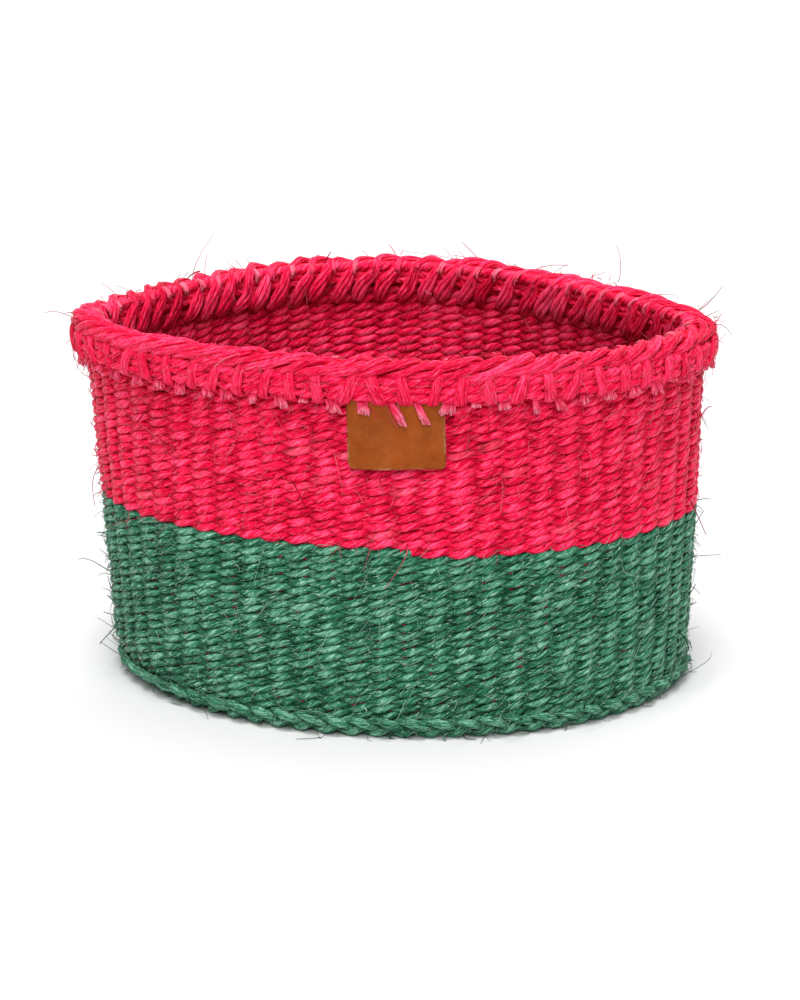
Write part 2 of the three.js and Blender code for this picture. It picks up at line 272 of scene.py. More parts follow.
class Wander:
    """Smooth chance, closed round the basket: -1 to 1 over columns and a second direction.

    A number added to the level picks another stretch of it, for a value of its own.
    """

    def __init__(self, seed, cells_round, rows=97):
        self.table = np.random.default_rng(seed).uniform(-1, 1, (rows, cells_round))
        self.cells_round = cells_round

    def __call__(self, column, level):
        across = np.asarray(column, float) / COLUMNS * self.cells_round
        up = np.asarray(level, float)
        x0 = np.floor(across).astype(int)
        y0 = np.floor(up).astype(int)
        x = across - x0
        y = up - y0
        x = x * x * (3 - 2 * x)
        y = y * y * (3 - 2 * y)
        left, right = x0 % self.cells_round, (x0 + 1) % self.cells_round
        below, above = y0 % len(self.table), (y0 + 1) % len(self.table)
        low = self.table[below, left] * (1 - x) + self.table[below, right] * x
        high = self.table[above, left] * (1 - x) + self.table[above, right] * x
        return low * (1 - y) + high * y


class Cord:
    """The run of one cord: its points, its radius, its tone and how pale it is at each."""

    def __init__(self, points, radius, tone=0.0, pale=0.0, closed=False):
        count = len(points)
        self.points = np.asarray(points, float)
        self.radius = np.broadcast_to(radius, count).astype(float)
        self.tone = np.broadcast_to(tone, count).astype(float)
        self.pale = np.broadcast_to(pale, count).astype(float)
        self.closed = closed

    def along(self):
        """How far each point is from the cord's start."""
        steps = np.linalg.norm(np.diff(self.points, axis=0), axis=1)
        return np.concatenate([[0], np.cumsum(steps)])


def section_curve(sides, width, height):
    """An oval section, which starts at its underside. A cord's radius scales it."""
    curve = bpy.data.curves.new("section", "CURVE")
    curve.dimensions = "2D"
    spline = curve.splines.new("POLY")
    spline.points.add(sides - 1)
    for i, point in enumerate(spline.points):
        turn = 2 * math.pi * i / sides - math.pi / 2
        point.co = (width * math.cos(turn), height * math.sin(turn), 0, 1)
    spline.use_cyclic_u = True
    return bpy.data.objects.new("section", curve)


def cord_piece(name, cords, sides=8, width=1.0, height=1.0, upright=False, lay=-24 * MM, crease_shade_strength=0.0):
    """One piece made of cords. Each vertex keeps where it is on its cord, for the finish.

    The attribute lay has its place round the cord, turned as the fibres are, and along it.
    The strength of painted shade on a cord's underside and top, where it lies against the next rows, is
    taken off the vertex tone.
    """
    section = section_curve(sides, width, height)
    curve = bpy.data.curves.new(name, "CURVE")
    curve.dimensions = "3D"
    curve.twist_mode = "Z_UP" if upright else "MINIMUM"
    curve.bevel_mode = "OBJECT"
    curve.bevel_object = section
    for cord in cords:
        spline = curve.splines.new("POLY")
        spline.points.add(len(cord.points) - 1)
        places = np.ones((len(cord.points), 4), np.float32)
        places[:, :3] = cord.points
        spline.points.foreach_set("co", places.ravel())
        spline.points.foreach_set("radius", cord.radius.astype(np.float32))
        spline.use_cyclic_u = cord.closed
    guide = bpy.data.objects.new(name + "_guide", curve)
    bpy.context.scene.collection.objects.link(guide)
    bpy.context.view_layer.update()
    graph = bpy.context.evaluated_depsgraph_get()
    mesh = bpy.data.meshes.new_from_object(guide.evaluated_get(graph))
    mesh.name = name
    bpy.data.objects.remove(guide)
    bpy.data.objects.remove(section)
    if len(mesh.vertices) != sides * sum(len(cord.points) for cord in cords):
        raise RuntimeError(f"{name}: the cords' vertices aren't in rings of {sides}")
    side_turn = 2 * math.pi * np.arange(sides) / sides
    # Painted shade: each ring's underside and top are darkened where the cord lies against the next
    # rows
    painted_crease_shade = crease_shade_strength * np.abs(np.cos(side_turn)) ** 3
    lays, tones, pales = [], [], []
    for i, cord in enumerate(cords):
        along = (cord.along() + PATTERN_SHIFT * i)[:, None]
        turn = side_turn[None, :] + (2 * math.pi / lay) * along
        rings = np.stack([np.cos(turn), np.sin(turn), np.repeat(along / MM, sides, 1)], -1)
        lays.append(rings.reshape(-1, 3))
        tones.append((cord.tone[:, None] - painted_crease_shade[None, :]).ravel())
        pales.append(np.repeat(cord.pale, sides))
    write_attribute(mesh, "lay", "FLOAT_VECTOR", np.concatenate(lays))
    write_attribute(mesh, "tone", "FLOAT", np.concatenate(tones))
    write_attribute(mesh, "pale", "FLOAT", np.concatenate(pales))
    shape = bmesh.new()
    shape.from_mesh(mesh)
    ends = [edge for edge in shape.edges if edge.is_boundary]
    if ends:
        bmesh.ops.holes_fill(shape, edges=ends, sides=sides)
    for face in shape.faces:
        face.smooth = True
    shape.to_mesh(mesh)
    shape.free()
    piece = bpy.data.objects.new(name, mesh)
    bpy.context.scene.collection.objects.link(piece)
    return piece


def write_attribute(mesh, name, kind, values):
    """A value for each vertex."""
    layer = mesh.attributes.new(name, kind, "POINT")
    key = "vector" if kind == "FLOAT_VECTOR" else "value"
    layer.data.foreach_set(key, np.asarray(values, np.float32).ravel())


def dress(piece, material, slot, *nodes):
    """Gives a piece its finish, sets it on the frame and lets it stand for CAD nodes."""
    piece.data.materials.clear()
    piece.data.materials.append(material)
    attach(piece, "root")
    if nodes:
        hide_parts(*nodes)


def across_run(run, guides, closed=False):
    """Two directions across a run of points, the first one as near as can be to the guides."""
    if closed:
        steps = np.roll(run, -1, axis=0) - np.roll(run, 1, axis=0)
    else:
        steps = np.gradient(run, axis=0)
    heading = steps / np.linalg.norm(steps, axis=1, keepdims=True)
    one = guides - heading * (guides * heading).sum(1, keepdims=True)
    one /= np.linalg.norm(one, axis=1, keepdims=True)
    return one, np.cross(heading, one)


def twisted(run, guides, radius, count, turns, tone=0.0, closed=False, start=0.0, flat=0.0):
    """A cord as a bundle of yarns that turn round each other. Flat, it spreads to the guides."""
    one, other = across_run(run, guides, closed)
    share = np.arange(len(run)) / (len(run) if closed else len(run) - 1)
    radius = np.broadcast_to(radius, len(run))
    yarn = radius * YARN_SHARE[count]
    ring = radius - yarn
    wide = ring * (1 + 0.6 * flat)
    thick = ring * (1 - 0.6 * flat)
    cords = []
    for k in range(count):
        turn = 2 * math.pi * (k / count + turns * share + start)
        offset = one * (wide * np.cos(turn))[:, None] + other * (thick * np.sin(turn))[:, None]
        own_tone = tone + 0.25 * math.sin(2.4 * k + 9 * start)
        cords.append(Cord(run + offset, yarn, own_tone, closed=closed))
    return cords


def ribbon(run, guides, half_width, radius, count, tone=0.0):
    """Yarns laid side by side along a run, with the middle ones proud."""
    one, other = across_run(run, guides)
    half_width = np.broadcast_to(half_width, len(run))
    cords = []
    for k in range(count):
        side = 2 * k / (count - 1) - 1
        offset = one * (half_width * side)[:, None] + other * (radius * 0.4 * (1 - side * side))
        cords.append(Cord(run + offset, radius, tone + 0.3 * math.sin(1.9 * k)))
    return cords


def smooth_run(points, steps):
    """A smooth line through a few points, by their parameter, with the ends kept."""
    points = np.asarray(points, float)
    last = len(points) - 1
    place = np.linspace(0, last, steps)
    low = np.clip(np.floor(place).astype(int), 0, last - 1)
    share = (place - low)[:, None]
    before = points[np.clip(low - 1, 0, last)]
    start = points[low]
    end = points[low + 1]
    after = points[np.clip(low + 2, 0, last)]
    return 0.5 * (2 * start + (end - before) * share
                  + (2 * before - 5 * start + 4 * end - after) * share ** 2
                  + (3 * start - before - 3 * end + after) * share ** 3)


class Wire:
    """One value in a material. An expression on wires adds the Math nodes that work it out."""

    def __init__(self, finish, socket):
        self.finish = finish
        self.socket = socket

    def output(self, name):
        """Another output of the same node."""
        return Wire(self.finish, self.socket.node.outputs[name])

    def maths(self, operation, *values):
        """The Math node that does one operation on values and wires."""
        return self.finish.add("ShaderNodeMath", {"operation": operation}, dict(enumerate(values)))

    def __add__(self, other):
        return self.maths("ADD", self, other)

    def __radd__(self, other):
        return self.maths("ADD", other, self)

    def __sub__(self, other):
        return self.maths("SUBTRACT", self, other)

    def __rsub__(self, other):
        return self.maths("SUBTRACT", other, self)

    def __mul__(self, other):
        return self.maths("MULTIPLY", self, other)

    def __rmul__(self, other):
        return self.maths("MULTIPLY", other, self)

    def clamped(self):
        """The value kept between 0 and 1."""
        return self.finish.add("ShaderNodeClamp", {}, {0: self})


class Finish:
    """The nodes of a material or of the world, which one method adds."""

    def __init__(self, owner):
        owner.use_nodes = True
        self.owner = owner
        self.tree = owner.node_tree
        self.tree.nodes.clear()

    def add(self, kind, settings=None, inputs=None, output=0):
        """A node with its settings made first, and values or wires put in its sockets."""
        node = self.tree.nodes.new(kind)
        for key, value in (settings or {}).items():
            if key == "stops":
                self.set_stops(node.color_ramp, value)
            else:
                setattr(node, key, value)
        for key, value in (inputs or {}).items():
            if isinstance(value, Wire):
                self.tree.links.new(value.socket, node.inputs[key])
            else:
                node.inputs[key].default_value = value
        return Wire(self, node.outputs[output]) if len(node.outputs) else None

    def set_stops(self, ramp, stops):
        """The colours of a ramp, as (place, colour)."""
        while len(ramp.elements) < len(stops):
            ramp.elements.new(0.5)
        for element, (place, colour) in zip(ramp.elements, stops):
            element.position = place
            element.color = (*colour, 1) if len(colour) == 3 else colour

    def attribute(self, name, output="Fac"):
        """What the mesh keeps at each vertex under a name."""
        return self.add("ShaderNodeAttribute", {"attribute_name": name}, output=output)

    def mix(self, share, one, other):
        """A colour between two."""
        ends = {0: share, 6: opaque(one), 7: opaque(other)}
        return self.add("ShaderNodeMix", {"data_type": "RGBA"}, ends, output=2)

    def noise(self, vector, scale, detail=2.0, roughness=0.5):
        """Soft chance, about 0.5, finer with more detail."""
        inputs = {"Vector": vector, "Scale": scale, "Detail": detail, "Roughness": roughness}
        return self.add("ShaderNodeTexNoise", {}, inputs)

    def spread(self, value, low, high):
        """A value made to run from 0 at low to 1 at high."""
        inputs = {"Value": value, "From Min": low, "From Max": high}
        return self.add("ShaderNodeMapRange", {"clamp": True}, inputs)

    def scaled(self, vector, amounts):
        """A vector with each part times its own amount."""
        return self.add("ShaderNodeVectorMath", {"operation": "MULTIPLY"}, {0: vector, 1: amounts})

    def surface(self, inputs):
        """Ends the material in its shader, and returns it."""
        shader = self.add("ShaderNodeBsdfPrincipled", {}, inputs)
        self.add("ShaderNodeOutputMaterial", {}, {"Surface": shader})
        return self.owner


def opaque(colour):
    """A colour with its alpha, or the wire that it is."""
    return colour if isinstance(colour, Wire) else (*tuple(colour)[:3], 1)


def shade(colour, factor):
    """A colour made darker or lighter."""
    return tuple(min(part * factor, 1.0) for part in colour[:3])


def towards(colour, other, share):
    """A colour part of the way to another."""
    return tuple(a * (1 - share) + b * share for a, b in zip(colour[:3], other[:3]))


def sisal_finish(name, dark_colour, colour, light_colour, pale_colour, painted_glint_share=0.4, depth=0.8):
    """Dyed sisal: fine fibres along the cord, uneven dye, dry and a little shiny.

    Painted glint share is how much of the pale colour is painted on the fibres as painted highlights
    where the glint noise is high, and depth how deep they are in mm.
    The vertex tone raises or lowers the dye's level, and on some pieces it carries painted shade.
    """
    finish = Finish(bpy.data.materials.new(name))
    lay = finish.attribute("lay", "Vector")
    place = finish.add("ShaderNodeTexCoord", output="Object")
    strands = finish.noise(finish.scaled(lay, (1.4, 1.4, 0.14)), 1.0, detail=2.0, roughness=0.6)
    hairs = finish.noise(finish.scaled(lay, (3.0, 3.0, 0.3)), 1.0, detail=3.0, roughness=0.65)
    # Noise for painted highlights: pale glint specks painted into the colour
    painted_glints = finish.noise(finish.scaled(lay, (2.6, 2.6, 0.5)), 1.0, detail=1.0)
    batches = finish.noise(finish.scaled(lay, (0.4, 0.4, 0.06)), 1.0, detail=1.0)
    patches = finish.noise(place, 60.0, detail=3.0)
    tone = finish.attribute("tone")
    pale = finish.attribute("pale")
    fibres = strands * 0.45 + hairs * 0.55
    light = finish.spread(fibres, 0.4, 0.6)
    # Level of the dye: fibres, batches and patches of dye, and the vertex tone, which on some pieces
    # holds painted shade in the creases and hollows
    level = (light * 0.72 + finish.spread(batches, 0.3, 0.7) * 0.14
             + finish.spread(patches, 0.3, 0.7) * 0.14 + tone * 0.2).clamped()
    # The ramp's dark colour is reached by the darkest fibres and by that painted shade
    dyed = finish.add(
        "ShaderNodeValToRGB",
        {"stops": [(0.0, dark_colour), (0.26, towards(dark_colour, colour, 0.5)), (0.52, colour[:3]),
                   (0.74, towards(colour, light_colour, 0.55)), (1.0, light_colour)]},
        {"Fac": level})
    # Pale of bleached fibres, plus painted highlights where the glint noise is high
    pale_and_painted_glint = pale * (light * 0.6 + 0.4) + finish.spread(painted_glints, 0.6, 0.72) * painted_glint_share
    base = finish.mix(pale_and_painted_glint.clamped(), dyed, pale_colour)
    rough = 0.6 - light * 0.2
    bump = finish.add(
        "ShaderNodeBump", {}, {"Strength": 0.9, "Distance": depth * MM, "Height": fibres})
    return finish.surface({
        "Base Color": base, "Roughness": rough, "Normal": bump,
        "Specular IOR Level": 0.35, "Specular Tint": (*light_colour, 1)})


def leather_finish(colour):
    """Plain vegetable-tanned leather: fine grain, darker worn edges, soft marks."""
    finish = Finish(bpy.data.materials.new("tan_leather"))
    place = finish.add("ShaderNodeTexCoord", output="Object")
    edge = finish.attribute("edge")
    grain = finish.add(
        "ShaderNodeTexVoronoi", {"feature": "DISTANCE_TO_EDGE"},
        {"Vector": place, "Scale": 1900.0, "Randomness": 1.0})
    pores = finish.spread(grain, 0.0, 0.12)
    cloud = finish.noise(place, 110.0, detail=5.0, roughness=0.65)
    speckle = finish.noise(place, 900.0, detail=3.0)
    scuffs = finish.spread(finish.noise(place, 130.0, detail=5.0, roughness=0.7), 0.46, 0.7)
    level = finish.spread(cloud, 0.28, 0.72) * 0.6 + speckle * 0.4
    hide = finish.add(
        "ShaderNodeValToRGB",
        {"stops": [(0.0, shade(colour, 0.66)), (0.45, shade(colour, 1.0)), (1.0, shade(colour, 1.42))]},
        {"Fac": level})
    by_edge = finish.spread(edge + (cloud - 0.5) * 0.9, 0.5, 1.0)
    rubbed = finish.mix(scuffs, shade(colour, 0.55), (0.48, 0.27, 0.15))
    worn = finish.mix(by_edge, hide, rubbed)
    base = finish.mix(scuffs * 0.16, worn, towards(colour, (0.5, 0.3, 0.12), 0.5))
    bump = finish.add(
        "ShaderNodeBump", {},
        {"Strength": 0.5, "Distance": 0.12 * MM, "Height": pores * 0.6 + cloud * 0.5 + speckle * 0.2})
    return finish.surface({
        "Base Color": base, "Roughness": 0.62 - level * 0.14 + scuffs * 0.12, "Normal": bump,
        "Specular IOR Level": 0.2, "Specular Tint": (1.0, 0.7, 0.45, 1)})


def floor_finish():
    """A pale floor that keeps the object's shadow and shows white round it."""
    finish = Finish(bpy.data.materials.new("pale_floor"))
    place = finish.add("ShaderNodeTexCoord", output="Object")
    mottle = finish.noise(place, 3.0, detail=2.0)
    felt = finish.mix(mottle, (0.68, 0.68, 0.685), (0.71, 0.71, 0.71))
    shown = finish.mix(mottle, (0.66, 0.665, 0.67), (0.675, 0.675, 0.675))
    tint = finish.mix(finish.add("ShaderNodeLightPath", output="Is Camera Ray"), felt, shown)
    return finish.surface({"Base Color": tint, "Roughness": 0.8, "Specular IOR Level": 0.1})


def studio_world():
    """An even, soft sky, white where the camera, a reflection or glass looks at it."""
    world = bpy.data.worlds.new("studio")
    finish = Finish(world)
    seen = finish.add("ShaderNodeLightPath", output="Is Camera Ray")
    mirrored = seen.output("Is Glossy Ray")
    through = seen.output("Is Transmission Ray")
    white = finish.add(
        "ShaderNodeMapRange", {},
        {"Value": seen.maths("MAXIMUM", seen.maths("MAXIMUM", seen, mirrored), through),
         "To Min": 0.29, "To Max": 1.0})
    sky = finish.add("ShaderNodeBackground", {}, {"Color": (1, 1, 1, 1), "Strength": white})
    finish.add("ShaderNodeOutputWorld", {}, {"Surface": sky})
    return world


class Basket:
    """What the operators share: the wall, the chance and the finishes.

    It is made once, when the first piece after the stage asks for it.
    """

    made = None

    def __init__(self, context):
        scene = context.scene
        self.shape = scene.basket_shape
        self.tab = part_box("leather_tab")
        self.weave = scene.basket_weave
        self.wall = Wall(self.shape)
        seed = self.weave.seed
        # From the widest waves to chance that differs from one stitch to the next
        self.dents = Wander(seed, 7)
        self.drift = Wander(seed + 1, 16)
        self.row_drift = Wander(seed + 2, 11)
        self.stitch = Wander(seed + 3, 64)
        self.stitch_two = Wander(seed + 4, 64)
        self.lean = Wander(seed + 5, 64)
        colours = scene.basket_colours
        self.green = sisal_finish(
            "green_sisal", (0.002, 0.022, 0.011), tuple(colours.green), (0.22, 0.48, 0.34),
            (0.46, 0.72, 0.57), painted_glint_share=0.6)
        self.pink = sisal_finish(
            "pink_sisal", (0.30, 0.0004, 0.010), tuple(colours.pink), (1.0, 0.085, 0.22),
            (1.0, 0.42, 0.52), painted_glint_share=0.16, depth=0.6)
        self.green_hair = sisal_finish(
            "green_hair", (0.06, 0.2, 0.13), (0.20, 0.42, 0.30), (0.42, 0.66, 0.53),
            (0.6, 0.8, 0.7))
        self.pink_hair = sisal_finish(
            "pink_hair", (0.8, 0.01, 0.06), (1.0, 0.06, 0.16), (1.0, 0.18, 0.32),
            (1.0, 0.50, 0.58), painted_glint_share=0.1)
        self.crimson = sisal_finish(
            "crimson_sisal", (0.015, 0.004, 0.005), tuple(colours.crimson), (0.75, 0.04, 0.09),
            (0.7, 0.2, 0.25), painted_glint_share=0.1)
        self.leather = leather_finish(tuple(colours.leather))

    @classmethod
    def of(cls, context):
        """The basket that is being made."""
        if cls.made is None:
            cls.made = cls(context)
        return cls.made

    def place(self, column, height, out):
        """A point of the wall, with the dents of a hand-made, handled basket."""
        column, height, out = np.broadcast_arrays(column, height, out)
        dent = self.dents(column, height / (34 * MM)) * 0.7 * MM * self.weave.unevenness
        fade = np.clip(height / (20 * MM), 0, 1)
        return self.wall.place(column, height, out + dent * fade)

    def face(self, column, height):
        """Level directions out of the wall, as (x, y, z)."""
        outward = self.wall.outward(column, height)
        return np.concatenate([outward, np.zeros((len(outward), 1))], -1)

    def under_tab(self, column, height):
        """Whether a place of the outer face is behind the leather tab or close beside it."""
        low, high = self.tab
        if column > FRONT_COLUMNS or not low.z - 3 * MM < height < high.z - 3 * MM:
            return False
        across = self.wall.middle(np.array([float(column)]), np.array([float(height)]))[0, 0]
        return low.x - 4 * MM < across < high.x + 2 * MM


def twined_pair(basket, heights, start_column, steps):
    """Two cords twined round the warps of the wall, at the heights of a spiral.

    On its way round, each cord passes outside one warp and behind the next, and the two cross
    between them. Every stitch is fat or slim, high or low, dark or pale by chance, and the rows
    sway. A few stitches are so slim that the warp behind them shows.
    """
    weave = basket.weave
    uneven = weave.unevenness
    travelled = np.arange(len(heights)) / steps
    column = start_column + travelled
    row = heights / weave.green_row
    rounds = travelled / COLUMNS
    sway = 0.28 * basket.row_drift(column, row * 0.19) + 0.08 * basket.lean(column, rounds * 1.3)
    slip = 0.10 * basket.drift(column, row * 0.21) + 0.08 * basket.stitch_two(column, rounds * 2.9 + 60)
    along = column + uneven * slip
    stitch = np.round(along)
    pair = []
    for turn in (0, 1):
        own = rounds * 1.7 + 13 * turn
        phase = math.pi * (along + turn)
        bulge = np.abs(np.cos(phase))

        rise = weave.rise * (1 + 0.35 * uneven * bulge * basket.stitch_two(stitch, own + 5))
        lift = sway + 0.18 * bulge * basket.lean(stitch, own + 9)
        height = heights + rise * np.sin(phase) + uneven * lift * MM
        wrap = np.sign(np.cos(phase)) * bulge ** 0.92
        out = weave.half_wall * wrap * (1 + 0.10 * uneven * basket.stitch(stitch, own + 30))

        gap = np.clip(-2.6 * basket.lean(stitch, own + 21) - 1.5, 0, 1)
        swell = 0.11 * basket.stitch(stitch, own) + 0.06 * basket.stitch_two(column, own) - 0.18 * gap
        pinched = 0.545 + 0.455 * bulge ** 0.95
        radius = (1 + uneven * bulge * swell) * pinched
        # Tone: random for each stitch, less painted shade towards the tips, where the two cords cross
        # and sink between the rows
        tone = 0.6 * basket.stitch(stitch, own + 11.5) + 0.4 - 1.2 * (1 - bulge) ** 1.5
        pale = 0.26 * np.clip(basket.stitch_two(stitch, own + 3.3) * 2.8 - 2.1, 0, 1)
        pair.append(Cord(basket.place(column, height, out), radius, tone, pale))
    return pair


class BASKET_OT_stage(bpy.types.Operator):
    """Adds the camera, the soft lights and the pale floor"""

    bl_idname = "basket.stage"
    bl_label = "Stage"

    def execute(self, context):
        Basket.made = None
        scene = context.scene
        # A little to the right of the front, and looking down by 17 degrees
        lens = bpy.data.cameras.new("camera")
        lens.lens = 108
        lens.sensor_width = 36
        lens.clip_end = 50
        camera = bpy.data.objects.new("camera", lens)
        camera.location = (94.6 * MM, -1065.8 * MM, 390.2 * MM)
        camera.rotation_euler = (math.radians(73), 0, math.radians(5))
        scene.collection.objects.link(camera)
        scene.camera = camera
        scene.view_settings.view_transform = "Standard"

        scene.world = studio_world()
        for name, place, angle, power in (
                ("key_light", (-0.05, -0.26, 1.2), 20, 2.15),
                ("front_light", (0.06, -0.9, 0.9), 34, 2.0),
                ("back_light", (0.1, 0.36, 1.2), 36, 1.0)):
            light = bpy.data.lights.new(name, "SUN")
            light.angle = math.radians(angle)
            light.energy = power
            lamp = bpy.data.objects.new(name, light)
            lamp.location = place
            lamp.rotation_euler = (-Vector(place)).to_track_quat("-Z", "Y").to_euler()
            scene.collection.objects.link(lamp)

        shape = bmesh.new()
        bmesh.ops.create_grid(shape, x_segments=4, y_segments=4, size=9.0)
        floor_mesh = bpy.data.meshes.new("floor")
        shape.to_mesh(floor_mesh)
        shape.free()
        floor = bpy.data.objects.new("floor", floor_mesh)
        floor.data.materials.append(floor_finish())
        scene.collection.objects.link(floor)
        return {"FINISHED"}


class BASKET_OT_wall_weft(bpy.types.Operator):
    """Twines the green and the pink cords of the wall"""

    bl_idname = "basket.wall_weft"
    bl_label = "Wall weft"

    def execute(self, context):
        basket = Basket.of(context)
        weave = basket.weave
        steps = 8
        in_round = COLUMNS * steps
        overlap = 4             # steps that green runs on past the start of pink
        first = FOOT_TOP - weave.green_row / 2
        green_rows = (COLOUR_HEIGHT - first - weave.green_row / 2) / weave.green_row
        pink_rows = (WALL_TOP - COLOUR_HEIGHT) / weave.pink_row
        green_count = int(green_rows * in_round)
        pink_count = int(pink_rows * in_round)
        green_heights = first + weave.green_row * np.arange(green_count + overlap) / in_round
        pink_heights = green_heights[-1] + weave.pink_row * np.arange(pink_count) / in_round
        change_column = HIDDEN_COLUMN + green_count / steps
        # Name, heights, first column, row, strength of the painted shade on the undersides and tops,
        # finish
        groups = (
            ("green_weft", green_heights, HIDDEN_COLUMN, weave.green_row, 2.2, basket.green),
            ("pink_weft", pink_heights, change_column, weave.pink_row, 1.0, basket.pink))
        for name, heights, start, row, crease_shade_strength, material in groups:
            cord_height = weave.cord_fullness * row
            pair = twined_pair(basket, heights, start, steps)
            nodes = [name.split("_")[0] + side for side in ("_outer_weft", "_inner_weft")]
            for cord, letter, node in zip(pair, "ab", nodes):
                cord.radius = cord.radius * cord_height / 2
                piece = cord_piece(
                    f"{name}_{letter}", [cord], sides=8,
                    width=weave.cord_depth / cord_height, upright=True, crease_shade_strength=crease_shade_strength)
                dress(piece, material, name.replace("weft", "sisal"), node)
        return {"FINISHED"}


def base_point(wall, column, share, height):
    """Points of the base, from its middle (share 0) to under the wall (share 1)."""
    column, share, height = np.broadcast_arrays(column, share, height)
    column = column.astype(float)
    foot = wall.middle(column, np.full(column.shape, WARP_HEIGHT))
    level = wall.foot_middle + (foot - wall.foot_middle) * share[..., None]
    return np.concatenate([level, height.astype(float)[..., None]], -1)


def warp_legs():
    """The legs of the warps on the base as (column, share), for each warp from leg to leg.

    The first set starts at the middle, the second a quarter of the way out and the third half
    way out. Where a set joins, the legs that are there close up to make room for its own.
    """
    first, second, third = [], [], []
    for leg in range(16):
        nearer = 2 * leg + leg % 2
        last = 2 * nearer + nearer % 2
        first.append([(4 * leg + 1.5, 0.09), (4 * leg + 1.5, 0.25), (2 * nearer + 0.5, 0.31),
                      (2 * nearer + 0.5, 0.50), (last, 0.56), (last, 1.0)])
        nearer = 2 * leg + 1 - leg % 2
        last = 2 * nearer + nearer % 2
        second.append([(2 * nearer + 0.5, 0.31), (2 * nearer + 0.5, 0.50), (last, 0.56), (last, 1.0)])
    for leg in range(32):
        last = 2 * leg + 1 - leg % 2
        third.append([(last, 0.56), (last, 1.0)])
    for legs, bend in ((first, FIRST_BEND), (second, SECOND_BEND), (third, THIRD_BEND)):
        for one, other in zip(legs[::2], legs[1::2]):
            middle = (one[0][0] + other[0][0]) / 2
            yield one[::-1] + [(middle, bend)] + other


def leg_rise(basket, column):
    """A warp from the base's edge up to the rim."""
    edge = basket.shape.edge_height
    curved = np.linspace(WARP_HEIGHT, edge, 8)
    straight = np.linspace(edge + 3 * MM, WALL_TOP, 40)
    height = np.concatenate([curved, straight])
    column = column + 0.03 * basket.lean(np.full(height.shape, float(column)), height / (20 * MM))
    return basket.place(column, height, 0.0)


class BASKET_OT_warps(bpy.types.Operator):
    """Lays the warps over the base and stands their legs up in the wall"""

    bl_idname = "basket.warps"
    bl_label = "Warps"

    def execute(self, context):
        basket = Basket.of(context)
        width = basket.weave.warp
        for number, legs in enumerate(warp_legs(), 1):
            spans = [np.linspace(here, there, 9)[:-1] for here, there in zip(legs, legs[1:])]
            column, share = np.concatenate(spans).T
            floor_run = base_point(basket.wall, column, share, WARP_HEIGHT)[1:]
            rises = []
            faces = []
            for end in (legs[0], legs[-1]):
                rise = leg_rise(basket, end[0])
                rises.append(rise)
                faces.append(basket.face(np.full(len(rise), float(end[0])), rise[:, 2]))
            under = np.tile((0.0, 0.0, -1.0), (len(floor_run), 1))
            run = np.concatenate([rises[0][::-1], floor_run, rises[1]])
            face = np.concatenate([faces[0][::-1], under, faces[1]])
            for axis in range(3):
                face[2:-2, axis] = np.convolve(face[:, axis], np.ones(5) / 5, "valid")
            sideways = np.cross(np.gradient(run, axis=0), face)
            own_chance = np.full(len(run), number * 3.1)
            tone = 0.3 + 1.5 * basket.stitch(own_chance, np.arange(len(run)) / 1.7)
            cords = ribbon(run, sideways, width * 0.32, width * 0.19, 4, tone)
            piece = cord_piece(f"warp_cord_{number:02d}", cords, sides=6)
            dress(piece, basket.crimson, "crimson_sisal", f"warp_{number:02d}")
        return {"FINISHED"}


class BASKET_OT_base_weft(bpy.types.Operator):
    """Twines the base, from the wall in to its middle"""

    bl_idname = "basket.base_weft"
    bl_label = "Base weft"

    def execute(self, context):
        basket = Basket.of(context)
        rows = basket.weave.base_rows
        reach = 0.925
        edge_share = 0.995
        # The shorter the rounds, the fewer steps to a column
        outer = np.arange(-1, rows * 0.47, 1 / (COLUMNS * 6))
        middle = np.arange(rows * 0.47, rows * 0.76, 1 / (COLUMNS * 3))
        inner = np.arange(rows * 0.76, rows * 1.066, 1 / (COLUMNS * 2))
        round_number = np.concatenate([outer, middle, inner])
        column = HIDDEN_COLUMN - round_number * COLUMNS
        share = np.minimum(edge_share - reach * round_number / rows, 1.003)
        round_eight = math.pi * (column - 1.5) / 4
        round_sixteen = math.pi * (column - 0.5) / 2
        round_all = math.pi * column
        turn = np.where(
            share > THIRD_BEND, round_all, np.where(share > SECOND_BEND, round_sixteen, round_eight))
        edge = basket.wall.middle(column, np.full(column.shape, WARP_HEIGHT))
        pitch = np.linalg.norm(edge - basket.wall.foot_middle, axis=1) * reach / rows
        for letter, shift, node in (("a", 0, "base_over_weft"), ("b", math.pi, "base_under_weft")):
            phase = turn + shift
            inward = share + 0.2 * reach / rows * np.sin(phase)
            height = WARP_HEIGHT + 1.5 * MM * np.cos(phase)
            points = base_point(basket.wall, column, inward, height)
            size = pitch * 0.5 * (0.72 + 0.3 * np.abs(np.cos(phase)))
            size = size * (1 + 0.08 * basket.stitch(column, round_number * 1.7 + 3))
            tone = basket.stitch_two(np.round(column), round_number * 1.4)
            cord = Cord(points, size, tone)
            piece = cord_piece(f"base_weft_{letter}", [cord], sides=7, height=0.6, upright=True)
            dress(piece, basket.green, "green_sisal", node)
        return {"FINISHED"}


